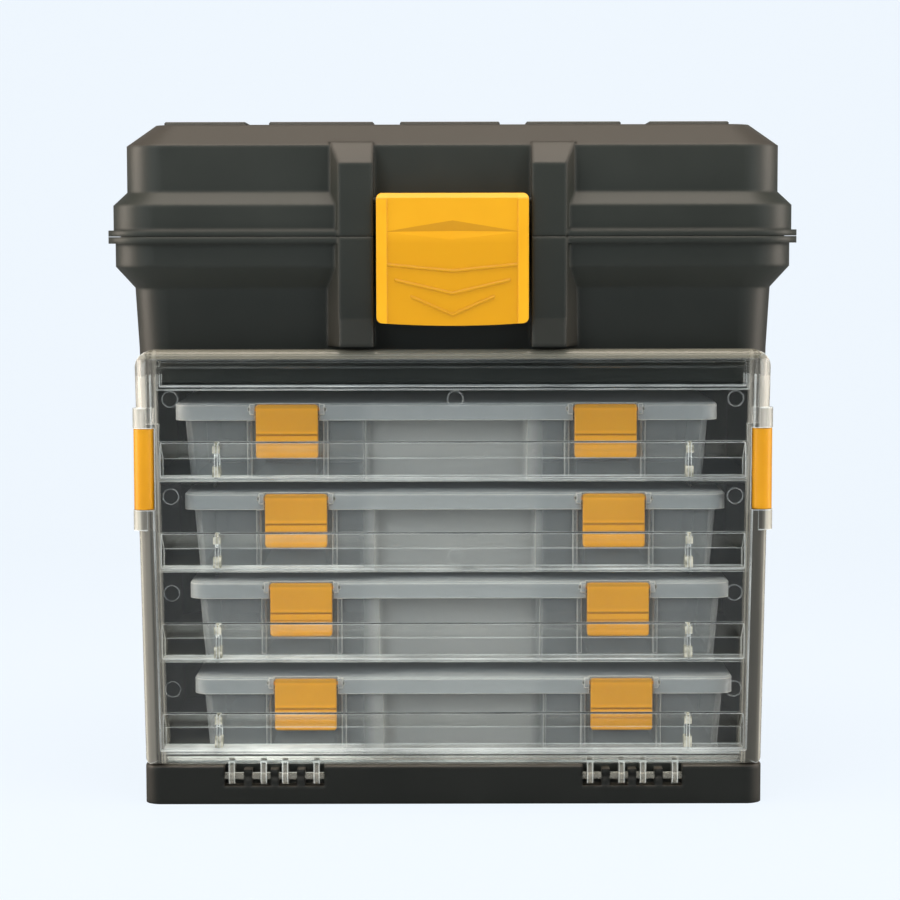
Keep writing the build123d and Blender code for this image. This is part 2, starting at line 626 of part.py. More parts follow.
def door_blank(inset):
    """The door's outer shape, drawn in by inset."""
    middle = (DOOR_FRONT + 0.0) / 2
    deep = -DOOR_FRONT - 2 * inset
    tray = loft(
        [
            Pos(0, middle, DOOR_LOW) * RectangleRounded(2 * (DOOR_HALF_FOOT - inset), deep, DOOR_EDGE_R - inset),
            Pos(0, middle, DOOR_TOP) * RectangleRounded(2 * (DOOR_HALF_TOP - inset), deep, DOOR_EDGE_R - inset),
        ],
        ruled=True,
    )
    foot = DOOR_HALF_FOOT - inset
    top = DOOR_HALF_TOP - inset
    low = DOOR_LOW + inset
    high = DOOR_TOP - inset
    corner = DOOR_CORNER_R - inset
    outline = [(-foot, low), (foot, low), (top, high), (-top, high)]
    tray &= prism_y(outline, -200.0, 10.0, [4.0, 4.0, corner, corner])
    front = DOOR_FRONT + inset
    rounding = make_face(Polyline((front, low), (front, high), (10.0, high), (10.0, low), close=True))
    for height, radius in ((low, 3.0), (high, DOOR_ROUND - inset)):
        edge = [v for v in rounding.vertices() if abs(v.X - front) + abs(v.Y - height) < 0.01]
        rounding = fillet(edge, radius)
    return tray & extrude(Plane.YZ.offset(-250.0) * rounding, 500.0)


def door_panel_slab(grow):
    """The space in front of the sunk panel; grow widens it for the wall around it."""
    foot = DOOR_HALF_FOOT - DOOR_BORDER + grow
    top = DOOR_HALF_TOP - DOOR_BORDER + grow
    low = DOOR_LOW + DOOR_BORDER - 1.5 - grow
    high = DOOR_TOP - 6.0 + grow
    outline = [(-foot, low), (foot, low), (top, high), (-top, high)]
    return prism_y(outline, -200.0, PANEL_FRONT + grow)


def ledge(number, grow):
    """The space of one ledge channel; grow widens it for the wall around it."""
    top_one = number == LEDGE_COUNT - 1
    low = LEDGE_LOW + number * LEDGE_PITCH
    inside = (TOP_LEDGE_IN if top_one else LEDGE_IN) + grow
    tall = TOP_LEDGE_HEIGHT if top_one else LEDGE_HEIGHT
    return prism_x(
        [
            (-200.0, low - grow),
            (inside, low - grow),
            (inside, low + LEDGE_FACE + 0.4 * grow),
            (PANEL_FRONT + grow, low + tall + 0.4 * grow),
            (-200.0, low + tall + 0.4 * grow),
        ],
        -LEDGE_HALF - grow,
        LEDGE_HALF + grow,
    )


def side_space(grow):
    """The space that one side latch needs in the door; grow widens it for the wall around it."""
    notch = box(
        SIDE_X - SIDE_R - 0.8 - grow, HALF_LIP + CUT, -HALF_LIP, SIDE_Y + SIDE_R + 0.8 + grow,
        SIDE_LOW - CLEAR - grow, SIDE_HIGH + CLEAR + grow,
    )
    notch += box(SIDE_POCKET - grow, HALF_LIP + CUT, DOOR_FRONT - CUT, 0.0, SIDE_LOW - CLEAR - grow, SIDE_HIGH + CLEAR + grow)
    return notch


door = door_blank(0.0) - door_panel_slab(0.0)
hollow_door = door_blank(DOOR_WALL) - door_panel_slab(DOOR_WALL)
for number in range(LEDGE_COUNT):
    door -= ledge(number, 0.0)
    hollow_door -= ledge(number, DOOR_WALL)
door -= both_sides(side_space(0.0))
hollow_door -= both_sides(side_space(DOOR_WALL))
side_boss = rod_z(SIDE_X, SIDE_Y, SIDE_LOW - CLEAR - SIDE_BOSS, SIDE_LOW - CLEAR, SIDE_BOSS_R)
side_boss += rod_z(SIDE_X, SIDE_Y, SIDE_HIGH + CLEAR, SIDE_HIGH + CLEAR + SIDE_BOSS, SIDE_BOSS_R)
door = door - hollow_door
door -= box(-300, 300, RACK_FRONT - CLEAR, 200, 0, 300)
door -= box(-300, 300, DOOR_STEP_BACK, 200, DOOR_STEP, 300)
door -= box(-DOOR_HALF_FOOT + DOOR_WALL, DOOR_HALF_FOOT - DOOR_WALL, DOOR_SILL_BACK, 200, 0, DOOR_LOW + 4)
for number in range(LEDGE_COUNT - 1):
    low = LEDGE_LOW + number * LEDGE_PITCH
    fin = box(FIN_X - FIN_THICK / 2, FIN_X + FIN_THICK / 2, -200, LEDGE_IN + 0.5, low - 0.5, low + LEDGE_HEIGHT + 0.5)
    fin &= prism_x(
        [
            (PANEL_FRONT, low - 0.5), (LEDGE_IN + 0.5, low - 0.5), (LEDGE_IN + 0.5, low + LEDGE_FACE),
            (PANEL_FRONT, low + LEDGE_HEIGHT + 0.5),
        ],
        0, 300,
    )
    door += both_sides(fin)
for number in range(4):
    for mark_x in (-MARK_X, MARK_X):
        z = MARK_LOW + number * MARK_PITCH
        door += rod_y(mark_x, PANEL_FRONT - MARK_OUT, PANEL_FRONT + 0.5, z, MARK_R)
door += rod_y(1.5, PANEL_FRONT - MARK_OUT, PANEL_FRONT + 0.5, MARK_LOW + 3 * MARK_PITCH, MARK_R)
face_mark_z = LEDGE_LOW + 2 * LEDGE_PITCH + LEDGE_FACE / 2
door += rod_y(1.5, LEDGE_IN - MARK_OUT, LEDGE_IN + 0.5, face_mark_z, MARK_R)
door += both_sides(side_boss)
for finger_x in FINGER_X:
    low = finger_x - FINGER_THICK / 2
    finger = box(low, low + FINGER_THICK, DOOR_FRONT, DOOR_AXIS_Y + FINGER_R, DOOR_AXIS_Z, DOOR_LOW + 1.8)
    finger += rod_x(low, low + FINGER_THICK, DOOR_AXIS_Y, DOOR_AXIS_Z, FINGER_R)
    door += both_sides(finger)
door -= both_sides(rod_x(ROD_LOW, ROD_HIGH, DOOR_AXIS_Y, DOOR_AXIS_Z, ROD_R + RUNNING))
side_pin_low = SIDE_LOW - SIDE_BOSS + 2.0
side_pin_high = SIDE_HIGH + SIDE_BOSS - 2.0
door -= both_sides(rod_z(SIDE_X, SIDE_Y, side_pin_low - SEAT, side_pin_high + SEAT, SIDE_PIN_R))
export_step(door, "parts/door_panel.step")

side_pin = rod_z(SIDE_X, SIDE_Y, side_pin_low, side_pin_high, SIDE_PIN_R)
export_step(side_pin, "parts/door_latch_pin_right.step")
export_step(mirrored(side_pin), "parts/door_latch_pin_left.step")

# Side latch: a round barrel on the pin and a leg that lies against the cabinet side

leg_low = SIDE_POCKET + CLEAR
side_latch = rod_z(SIDE_X, SIDE_Y, SIDE_LOW, SIDE_HIGH, SIDE_R)
leg = box(leg_low, leg_low + SIDE_LEG_THICK, SIDE_Y, SIDE_LEG_BACK, SIDE_LOW, SIDE_HIGH)
leg = fillet([e for e in leg.edges().filter_by(Axis.X) if e.center().Y > SIDE_Y + 1], 6.0)
side_latch += leg
side_latch += box(SIDE_X, leg_low + SIDE_LEG_THICK, SIDE_Y - 2.0, SIDE_Y + 4.0, SIDE_LOW, SIDE_HIGH)
side_latch -= rod_z(SIDE_X, SIDE_Y, SIDE_LOW - 1, SIDE_HIGH + 1, SIDE_PIN_R + RUNNING)
export_step(side_latch, "parts/door_latch_right.step")
export_step(mirrored(side_latch), "parts/door_latch_left.step")

# Small-parts cases: a thin tub, a snap lid on a rear rod, two front latches, dividers

case_mid = (CASE_FRONT + CASE_BACK) / 2
case_deep = (CASE_BACK - CASE_FRONT) / 2


def case_block(half, deep, corner, z):
    """A rounded case plan of given half width and half depth at height z."""
    return Pos(0, case_mid, z) * RectangleRounded(2 * half, 2 * deep, corner)


def tub_block(inset, low, high):
    """The tapering tub of a case, drawn in by inset."""
    top_half = CASE_LID_HALF - CASE_GAP - inset
    top_deep = case_deep - CASE_GAP + 1.5 - inset
    corner = CASE_CORNER - 2.0 - inset
    return loft(
        [
            case_block(top_half - CASE_TAPER, top_deep - CASE_TAPER, corner, low),
            case_block(top_half, top_deep, corner, high),
        ],
        ruled=True,
    )


for number, shift in enumerate(CASE_SHIFT):
    name = f"case_{number + 1}"
    level = len(CASE_SHIFT) - 1 - number
    low = CASE_LOW + level * CASE_PITCH + (CASE_RISE if level else 0.0)
    high = low + CASE_HEIGHT
    skirt_low = high - CASE_SKIRT
    rim = high - CASE_TOP - SEAT
    pivot_y = CASE_FRONT + CASE_PIVOT_IN
    pivot_z = high - CASE_PIVOT_DOWN
    rod_y_at = CASE_BACK - CASE_ROD_IN
    rod_z_at = high - CASE_ROD_DOWN
    latch_face = CASE_FRONT - CASE_LATCH_OUT

    lid_inside = CASE_LID_HALF - CASE_WALL
    case_lid = loft(
        [
            case_block(CASE_LID_HALF, case_deep, CASE_CORNER, skirt_low),
            case_block(CASE_LID_HALF, case_deep, CASE_CORNER, high - 1.2),
            case_block(CASE_LID_HALF - 1.2, case_deep - 1.2, CASE_CORNER - 1.2, high),
        ],
        ruled=True,
    )
    case_lid -= extrude(
        case_block(lid_inside, case_deep - CASE_WALL, CASE_CORNER - CASE_WALL, skirt_low - 1.0),
        high - CASE_TOP - skirt_low + 1.0,
    )
    tub = tub_block(0.0, low, rim)
    flange = extrude(
        case_block(lid_inside - 0.4, case_deep - CASE_WALL - 0.4, CASE_CORNER - CASE_WALL, rim - 2.0), 2.0
    )
    grip = box(-GRIP_HALF, GRIP_HALF, -200, CASE_FRONT + 3.5 + GRIP_DEPTH, low - 1, rim - 2.0)
    grip = fillet(grip.edges().filter_by(Axis.Z).group_by(Axis.Y)[-1], 3.0)
    tub = tub - grip + flange
    inside = tub_block(CASE_WALL, low + CASE_WALL, rim + 1.0)
    inside -= box(
        -GRIP_HALF - CASE_WALL, GRIP_HALF + CASE_WALL, -200,
        CASE_FRONT + 3.5 + GRIP_DEPTH + CASE_WALL, low - 1, high + 5,
    )
    tub -= inside
    for side in (-1, 1):
        latch_x = side * CASE_LATCH_X
        bay = CASE_LATCH_HALF + 0.8
        bay_back = CASE_FRONT + 4.2
        case_lid -= box(latch_x - bay, latch_x + bay, -200, bay_back, skirt_low - 1, high + 1)
        case_lid += box(latch_x - bay - 0.5, latch_x + bay + 0.5, bay_back, bay_back + CASE_WALL, high - 5.5, high - 0.6)
        notch = bay + CASE_TAB + 0.4
        tub -= box(latch_x - notch, latch_x + notch, -200, bay_back + CASE_WALL + 0.2, rim - 6.5, high)
        tub += box(latch_x - notch, latch_x + notch, bay_back + 1.0, bay_back + CASE_WALL + 3.5, rim - 9.0, rim - 4.5)
        for end in (-1, 1):
            tab_x = latch_x + end * (bay + CASE_TAB / 2)
            case_lid += box(
                tab_x - CASE_TAB / 2, tab_x + CASE_TAB / 2, pivot_y - 2.6, CASE_FRONT + 2.5, pivot_z - 3.0, high - 0.2
            )
            rib_x = latch_x + end * (bay + 3.6)
            tub += box(rib_x - 1.3, rib_x + 1.3, CASE_FRONT + 1.6, CASE_FRONT + 8.2, low + 3.0, skirt_low - 0.4)
        case_lid -= rod_x(
            latch_x - bay - CASE_TAB - 1, latch_x + bay + CASE_TAB + 1, pivot_y, pivot_z, CASE_PIVOT_R + RUNNING
        )
        tub += box(latch_x - 8, latch_x + 8, CASE_FRONT + 2.2, CASE_FRONT + 7.5, low + 19.5, low + 22.5)

        latch = box(
            -CASE_LATCH_HALF, CASE_LATCH_HALF, latch_face, latch_face + CASE_LATCH_THICK,
            high - CASE_LATCH_LENGTH, high - 0.4,
        )
        latch = fillet(latch.edges().filter_by(Axis.Y), 2.0)
        latch = chamfer(latch.faces().sort_by(Axis.Y)[0].edges(), 0.6)
        latch += rod_x(-CASE_LATCH_HALF, CASE_LATCH_HALF, pivot_y, pivot_z, CASE_BARREL_R)
        latch += box(-CASE_LATCH_HALF, CASE_LATCH_HALF, latch_face + 1.0, pivot_y, pivot_z - 0.5, pivot_z + CASE_BARREL_R)
        for end in (-1, 1):
            cheek = end * (CASE_LATCH_HALF - 1.1)
            latch += box(
                cheek - 1.1, cheek + 1.1, latch_face + 1.0, CASE_FRONT + 1.2,
                high - CASE_LATCH_LENGTH + 2.2, pivot_z,
            )
        for groove, cut in ((0.60, 0.9), (0.73, 0.6)):
            groove_z = high - groove * CASE_LATCH_LENGTH
            latch -= prism_x(
                [(latch_face - 0.1, groove_z + cut), (latch_face + cut, groove_z), (latch_face - 0.1, groove_z - 0.25)],
                -CASE_LATCH_HALF - 1, CASE_LATCH_HALF + 1,
            )
        latch += rod_x(
            -bay - CASE_TAB + 0.4, bay + CASE_TAB - 0.4, pivot_y, pivot_z, CASE_PIVOT_R
        )
        latch += box(-7, 7, latch_face + 1.0, CASE_FRONT + 1.8, low + 16.3, low + 19.0)
        side_name = "left" if side < 0 else "right"
        export_step(Pos(latch_x + shift, 0, 0) * latch, f"parts/{name}_latch_{side_name}.step")

        for part_x, is_tub in ((CASE_KNUCKLE_X, True), (CASE_KNUCKLE_X - 13.0, False), (CASE_KNUCKLE_X + 13.0, False)):
            hinge_x = side * part_x
            knuckle = rod_x(hinge_x - 6, hinge_x + 6, rod_y_at, rod_z_at, CASE_KNUCKLE_R)
            if is_tub:
                knuckle += box(hinge_x - 6, hinge_x + 6, CASE_BACK - 5.5, rod_y_at, rod_z_at - 2.6, rod_z_at)
                knuckle &= box(hinge_x - 5.7, hinge_x + 5.7, -200, 200, 0, 300)
                case_lid -= box(
                    hinge_x - 6.4, hinge_x + 6.4, CASE_BACK - 3.0, 200, skirt_low - 1, rod_z_at + CASE_KNUCKLE_R + 0.5
                )
                tub += knuckle
            else:
                case_lid += knuckle
    tub -= rod_x(-CASE_ROD_HALF, CASE_ROD_HALF, rod_y_at, rod_z_at, CASE_ROD_R + RUNNING)
    case_lid -= rod_x(-CASE_ROD_HALF, CASE_ROD_HALF, rod_y_at, rod_z_at, CASE_ROD_R)
    case_rod = rod_x(-CASE_ROD_HALF + 1.0, CASE_ROD_HALF - 1.0, rod_y_at, rod_z_at, CASE_ROD_R)

    inside_low = low + CASE_WALL + SEAT
    grid_top = inside_low + DIVIDER_HEIGHT
    dividers = box(-158.0, 158.0, 12.0, 12.0 + DIVIDER_THICK, inside_low, grid_top)
    for cell in range(-3, 4):
        wall_x = cell * 40.0
        wall_low = -78.0 if abs(wall_x) < GRIP_HALF + 5 else -86.0
        dividers += box(wall_x - DIVIDER_THICK / 2, wall_x + DIVIDER_THICK / 2, wall_low, 79.0, inside_low, grid_top)
    dividers &= tub_block(CASE_WALL + CLEAR, low, rim)

    export_step(Pos(shift, 0, 0) * tub, f"parts/{name}_tub.step")
    export_step(Pos(shift, 0, 0) * case_lid, f"parts/{name}_lid.step")
    export_step(Pos(shift, 0, 0) * case_rod, f"parts/{name}_hinge_rod.step")
    export_step(Pos(shift, 0, 0) * dividers, f"parts/{name}_dividers.step")
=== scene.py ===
import bpy, json, math
from mathutils import Vector, Matrix

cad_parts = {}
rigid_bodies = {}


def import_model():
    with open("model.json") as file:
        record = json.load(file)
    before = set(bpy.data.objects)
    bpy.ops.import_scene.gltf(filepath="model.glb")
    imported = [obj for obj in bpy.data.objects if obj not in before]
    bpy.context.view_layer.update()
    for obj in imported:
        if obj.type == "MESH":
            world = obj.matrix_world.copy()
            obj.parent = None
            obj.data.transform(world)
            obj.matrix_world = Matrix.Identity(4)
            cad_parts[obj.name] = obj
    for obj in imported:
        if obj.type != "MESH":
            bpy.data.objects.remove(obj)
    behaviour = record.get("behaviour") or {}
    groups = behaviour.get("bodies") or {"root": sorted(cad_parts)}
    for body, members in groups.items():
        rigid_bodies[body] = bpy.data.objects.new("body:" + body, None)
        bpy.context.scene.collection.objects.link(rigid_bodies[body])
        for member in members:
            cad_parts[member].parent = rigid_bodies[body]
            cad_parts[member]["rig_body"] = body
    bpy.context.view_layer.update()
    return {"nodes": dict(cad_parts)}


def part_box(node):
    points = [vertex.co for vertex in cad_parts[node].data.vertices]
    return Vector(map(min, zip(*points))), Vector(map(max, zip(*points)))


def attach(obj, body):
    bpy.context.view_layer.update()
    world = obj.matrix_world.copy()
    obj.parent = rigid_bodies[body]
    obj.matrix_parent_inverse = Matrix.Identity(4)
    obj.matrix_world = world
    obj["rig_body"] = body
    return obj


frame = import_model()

# Studio: a pale seamless floor and backdrop, white to the camera, and broad soft lamps.
# The overhead lamp is a little warm and the front ones are cool, as on the real picture.
scene = bpy.context.scene
scene.view_settings.view_transform = "Standard"


class Recipe:
    """The node tree of one material or of the air, with short calls for its nodes."""

    def __init__(self, owner):
        self.owner = owner
        owner.use_nodes = True
        self.tree = owner.node_tree
        self.tree.nodes.clear()

    def put(self, socket, value):
        """Links another node's output to the socket, or sets the socket to a plain value."""
        if isinstance(value, bpy.types.NodeSocket):
            self.tree.links.new(value, socket)
        else:
            socket.default_value = value

    def add(self, kind, inputs, **settings):
        """One shader node with its settings and inputs; gives its outputs."""
        node = self.tree.nodes.new("ShaderNode" + kind)
        for key, value in settings.items():
            setattr(node, key, value)
        for key, value in inputs.items():
            self.put(node.inputs[key], value)
        return node.outputs

    def calc(self, operation, *terms, **settings):
        return self.add("Math", dict(enumerate(terms)), operation=operation, **settings)[0]

    def over(self, share, first, second):
        """One shader covered by another, by share."""
        return self.add("MixShader", {0: share, 1: first, 2: second})[0]

    def finish(self, surface, kind="OutputMaterial"):
        self.add(kind, {"Surface": surface})
        return self.owner


def backdrop_material():
    """Plain pale paint that the camera sees as nearly white, with the object's shadow kept on it."""
    whitened, dimmed = 0.93, 0.8
    mix = Recipe(bpy.data.materials.new("pale_floor"))
    paint = mix.add("BsdfPrincipled", {"Base Color": (0.80, 0.83, 0.86, 1), "Roughness": 0.9})
    glow = mix.add("Emission", {"Color": (0.862, 0.93, 1.0, 1)})
    dim = mix.add("Emission", {"Color": (0.050, 0.062, 0.062, 1)})
    rays = mix.add("LightPath", {})
    seen = mix.calc("MAXIMUM", rays["Is Camera Ray"], rays["Is Transmission Ray"])
    lit = mix.over(mix.calc("MULTIPLY", seen, whitened), paint[0], glow[0])
    return mix.finish(mix.over(mix.calc("MULTIPLY", rays["Is Glossy Ray"], dimmed), lit, dim[0]))


# The sweep's outline, as depth and height: flat floor, a quarter circle, then an upright wall.
floor_front, floor_back, bend, wall_top, half_width = -2.6, 1.1, 0.9, 4.2, 4.0
bend_steps = 12
outline = [(floor_front, 0.0), (floor_back, 0.0)]
for step in range(1, bend_steps + 1):
    angle = math.radians(90 * step / bend_steps)
    outline.append((floor_back + bend * math.sin(angle), bend - bend * math.cos(angle)))
outline.append((floor_back + bend, wall_top))
stage_mesh = bpy.data.meshes.new("stage_sweep")
stage_mesh.from_pydata(
    [(x, y, z) for y, z in outline for x in (-half_width, half_width)],
    [],
    [(2 * i, 2 * i + 1, 2 * i + 3, 2 * i + 2) for i in range(len(outline) - 1)],
)
stage_mesh.materials.append(backdrop_material())
for face in stage_mesh.polygons:
    face.use_smooth = True
sweep = bpy.data.objects.new("stage_sweep", stage_mesh)
scene.collection.objects.link(sweep)

# The air lights the object, the camera sees it nearly white, and gloss sees it dim.
scene.world = bpy.data.worlds.new("studio_air")
sky = Recipe(scene.world)
air = sky.add("Background", {"Color": (0.80, 0.90, 1.0, 1), "Strength": 0.55})
seen_air = sky.add("Background", {"Color": (0.862, 0.93, 1.0, 1)})
dark_air = sky.add("Background", {"Color": (0.10, 0.115, 0.115, 1)})
rays = sky.add("LightPath", {})
bright_air = sky.over(rays["Is Camera Ray"], air[0], seen_air[0])
sky.finish(sky.over(rays["Is Glossy Ray"], bright_air, dark_air[0]), "OutputWorld")

for name, place, aim, size, power, tint in (
    ("overhead", (0.0, -0.35, 1.7), (0, 0.0, 0.3), (1.5, 0.8), 24.0, (1.0, 0.90, 0.79)),
    ("front_left", (-1.25, -1.9, 1.15), (0, 0, 0.2), (0.9, 1.3), 14.0, (0.90, 0.97, 1.0)),
    ("front_right", (1.45, -1.7, 1.0), (0, 0, 0.2), (0.7, 1.2), 9.0, (0.93, 0.98, 1.0)),
    ("side_left", (-1.25, -0.15, 0.55), (0, 0, 0.25), (0.7, 1.1), 15.0, (1.0, 0.88, 0.76)),
    ("side_right", (1.25, -0.15, 0.55), (0, 0, 0.25), (0.7, 1.1), 12.0, (1.0, 0.90, 0.80)),
):
    lamp = bpy.data.lights.new(name, "AREA")
    lamp.shape = "RECTANGLE"
    lamp.size, lamp.size_y = size
    lamp.energy = power
    lamp.color = tint
    lamp_object = bpy.data.objects.new(name, lamp)
    lamp_object.location = place
    lamp_object.rotation_euler = (Vector(aim) - Vector(place)).to_track_quat("-Z", "Y").to_euler()
    scene.collection.objects.link(lamp_object)

# Camera: a long lens at the height of the rim, in line with the middle, looking slightly down.
camera_data = bpy.data.cameras.new("camera")
camera_data.lens, camera_data.sensor_width = 99.9, 36.0
camera_data.clip_start = 0.05
camera = bpy.data.objects.new("camera", camera_data)
off_middle, distance, camera_height = -0.0015, 1.625, 0.346
looking_down, roll = 4.885, 0.1
camera.location = (off_middle, -distance, camera_height)
camera.rotation_euler = (math.radians(90 - looking_down), math.radians(roll), 0)
scene.collection.objects.link(camera)
scene.camera = camera


# Black shells: base, cabinet, lid and carry handle. Injection-moulded polypropylene, dyed black,
# with a fine spark-eroded grain; edges and up-facing bevels get a painted grey highlight.
def paint(node, material):
    """Gives a CAD node one material in all its slots."""
    mesh = frame["nodes"][node].data
    mesh.materials.clear()
    mesh.materials.append(material)


class Moulded(Recipe):
    """The recipe of a moulded plastic: patterns on the piece's own coordinates, and soft edges."""

    def __init__(self, name):
        super().__init__(bpy.data.materials.new(name))

    def scaled(self, value, start, stop, low=0.0, high=1.0):
        """The stretch from start to stop, mapped on low to high and held there beyond its ends."""
        inputs = {"Value": value, "From Min": start, "From Max": stop, "To Min": low, "To Max": high}
        return self.add("MapRange", inputs)["Result"]

    def split(self, coordinate):
        """X, Y and Z of a texture coordinate, such as Object or Normal."""
        return self.add("SeparateXYZ", {0: self.add("TexCoord", {})[coordinate]})

    def noise(self, scale, detail=2.0, stretch=None):
        """Noise on the object's own coordinates, which stretch can scale by axis."""
        place = self.add("TexCoord", {})["Object"]
        if stretch:
            place = self.add("Mapping", {"Vector": place, "Scale": stretch})["Vector"]
        return self.add("TexNoise", {"Vector": place, "Scale": scale, "Detail": detail})["Fac"]

    def ramp(self, value, stops):
        """Colours by value. Each stop is a place and its colour, with alpha if it matters."""
        node = self.tree.nodes.new("ShaderNodeValToRGB")
        elements = node.color_ramp.elements
        for place, colour in stops[1:-1]:
            elements.new(place)
        for element, (place, colour) in zip(elements, stops):
            element.position = place
            element.color = (*colour, 1)[:4]
        self.put(node.inputs["Fac"], value)
        return node.outputs

    def tinted(self, share, first, second, **settings):
        """One colour turned into another, by share."""
        return self.add("Mix", {0: share, 6: first, 7: second}, data_type="RGBA", **settings)[2]

    def bevelled(self, radius):
        """The normal as it would be with every edge rounded."""
        return self.add("Bevel", {"Radius": radius}, samples=6)["Normal"]

    def textured(self, grains, strength, depth, edge_radius):
        """The normal of a fine grain on a piece with rounded edges."""
        return self.add("Bump", {
            "Strength": strength, "Distance": depth, "Height": self.noise(grains),
            "Normal": self.bevelled(edge_radius),
        })["Normal"]


def black_plastic():
    mix = Moulded("black_moulded")
    cloud = mix.noise(16.0, 5.0)
    dye = mix.ramp(cloud, ((0.3, (0.0108, 0.0126, 0.0102)), (0.75, (0.0152, 0.0172, 0.0140))))
    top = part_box("lid_shell")[1][2]
    # Up the object: painted shading, darker at the bottom and lighter towards the lid,
    # and how much of the painted grey highlight shows.
    shading_by_height = mix.ramp(
        mix.scaled(mix.split("Object")["Z"], 0.0, top),
        [
            (place, (tone, tone, tone, highlight_share))
            for place, tone, highlight_share in (
                (0.0, 0.62, 1.0), (0.06, 0.65, 1.0), (0.1, 0.92, 1.0), (0.6, 0.92, 0.9),
                (0.73, 1.25, 0.6), (0.84, 1.65, 0.1), (0.9, 1.7, 0.1), (0.95, 1.75, 0.85),
                (1.0, 1.75, 0.95),
            )
        ],
    )
    facing = mix.split("Normal")
    # Painted highlight: faces turned up or to the sides, towards the lamps, go a lighter warm grey.
    up_facing_highlight = mix.scaled(facing["Z"], 0.12, 0.75)
    side_facing_highlight = mix.scaled(mix.calc("ABSOLUTE", facing["X"]), 0.2, 0.9, 0.0, 0.5)
    painted_highlight_share = mix.calc("MULTIPLY", mix.calc("MAXIMUM", up_facing_highlight, side_facing_highlight), shading_by_height["Alpha"])
    toned = mix.tinted(1.0, dye["Color"], shading_by_height["Color"], blend_type="MULTIPLY")
    painted_highlight_grey = (0.050, 0.042, 0.033, 1)
    return mix.finish(mix.add("BsdfPrincipled", {
        "Base Color": mix.tinted(painted_highlight_share, toned, painted_highlight_grey),
        "Roughness": mix.scaled(cloud, 0.0, 1.0, 0.40, 0.52),
        "Specular IOR Level": 0.4,
        "Normal": mix.textured(grains=1500.0, strength=0.35, depth=0.00012, edge_radius=0.0034),
    })[0])


black = black_plastic()
for node in ("base_plinth", "cabinet_body", "lid_shell", "carry_handle"):
    paint(node, black)


# Yellow latches: the wide lid latch, two side latches of the door and the snaps of the cases.
# Satin polypropylene, a warm amber yellow that glows a little where it is thin.
def yellow_plastic(name, deep, light, vary=None):
    """Yellow that drifts between two tones; vary may change the colour further."""
    mix = Moulded(name)
    colour = mix.ramp(mix.noise(22.0, 3.0), ((0.25, deep), (0.8, light)))["Color"]
    if vary:
        colour = vary(mix, colour)
    return mix.finish(mix.add("BsdfPrincipled", {
        "Base Color": colour,
        "Roughness": 0.38,
        "Specular IOR Level": 0.3,
        "Subsurface Weight": 0.08,
        "Subsurface Radius": (0.004, 0.002, 0.0005),
        "Normal": mix.textured(grains=900.0, strength=0.12, depth=0.0001, edge_radius=0.0008),
    })[0])


def painted_field_shade(mix, colour):
    """Painted shade: deeper yellow in the wide latch's sunk field between its rails,
    most below the wing, and on what faces down.
    """
    latch_half, _, latch_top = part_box("lid_latch")[1]
    rail_width, rail_blur, wing_drop, wing_fade = 0.006, 0.001, 0.023, 0.007
    rail_inside, wing_foot = latch_half - rail_width, latch_top - wing_drop
    painted_shade_yellow = (0.63, 0.288, 0.001, 1)
    spot = mix.split("Object")
    between_rails = mix.scaled(mix.calc("ABSOLUTE", spot["X"]), rail_inside, rail_inside - rail_blur)
    below_wing = mix.scaled(spot["Z"], wing_foot, wing_foot - wing_fade, 0.35, 1.0)
    shaded_field = mix.calc("MULTIPLY", between_rails, below_wing)
    down_facing_shade = mix.scaled(mix.split("Normal")["Z"], -0.08, -0.2, 0.0, 1.25)
    share = mix.calc("MAXIMUM", shaded_field, down_facing_shade)
    return mix.tinted(share, colour, painted_shade_yellow, clamp_factor=False)


def painted_bands_below(top):
    """Painted shade in the grooves of a case latch's moulded bands, and painted highlights
    beside them, from the latch top down.
    """
    latch_height = 0.0325
    band_light_tones = (
        (0.0, 0.8), (0.06, 0.78), (0.09, 1.08), (0.13, 0.95), (0.48, 0.93), (0.53, 1.1), (0.57, 0.6),
        (0.61, 1.02), (0.71, 0.98), (0.735, 0.72), (0.76, 1.0), (0.84, 0.86), (0.9, 1.04), (1.0, 0.85),
    )

    def vary(mix, colour):
        depth = mix.scaled(mix.split("Object")["Z"], top, top - latch_height)
        painted_bands = mix.ramp(depth, [(place, (tone, tone, tone)) for place, tone in band_light_tones])
        return mix.tinted(1.0, colour, painted_bands["Color"], blend_type="MULTIPLY")

    return vary


# The wide latch gets painted shade in its sunk field and on faces turned down.
paint("lid_latch", yellow_plastic("wide_latch", (0.74, 0.345, 0.004), (0.82, 0.40, 0.008), painted_field_shade))
yellow = yellow_plastic("yellow_moulded", (0.565, 0.24, 0.0015), (0.65, 0.295, 0.003))
for side in ("left", "right"):
    paint(f"door_latch_{side}", yellow)
for number in range(1, 5):
    # Each case latch gets painted shade and highlight bands, down from its top.
    painted_bands = painted_bands_below(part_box(f"case_{number}_latch_left")[1][2])
    amber = yellow_plastic(f"amber_{number}", (0.81, 0.345, 0.0005), (0.87, 0.39, 0.001), painted_bands)
    for side in ("left", "right"):
        paint(f"case_{number}_latch_{side}", amber)


# Small-parts cases: thin natural polypropylene, milky and see-through at arm's length. The lid is
# a little lighter than the tub, and the middle of each tub's front is frosted.
def edge_light(mix, rounded):
    """How close a spot is to a sharp edge, where a painted highlight shows thin plastic white."""
    flat = mix.add("NewGeometry", {})["Normal"]
    turn = mix.add("VectorMath", {0: rounded, 1: flat}, operation="DOT_PRODUCT")["Value"]
    return mix.scaled(mix.calc("ABSOLUTE", turn), 0.995, 0.86)


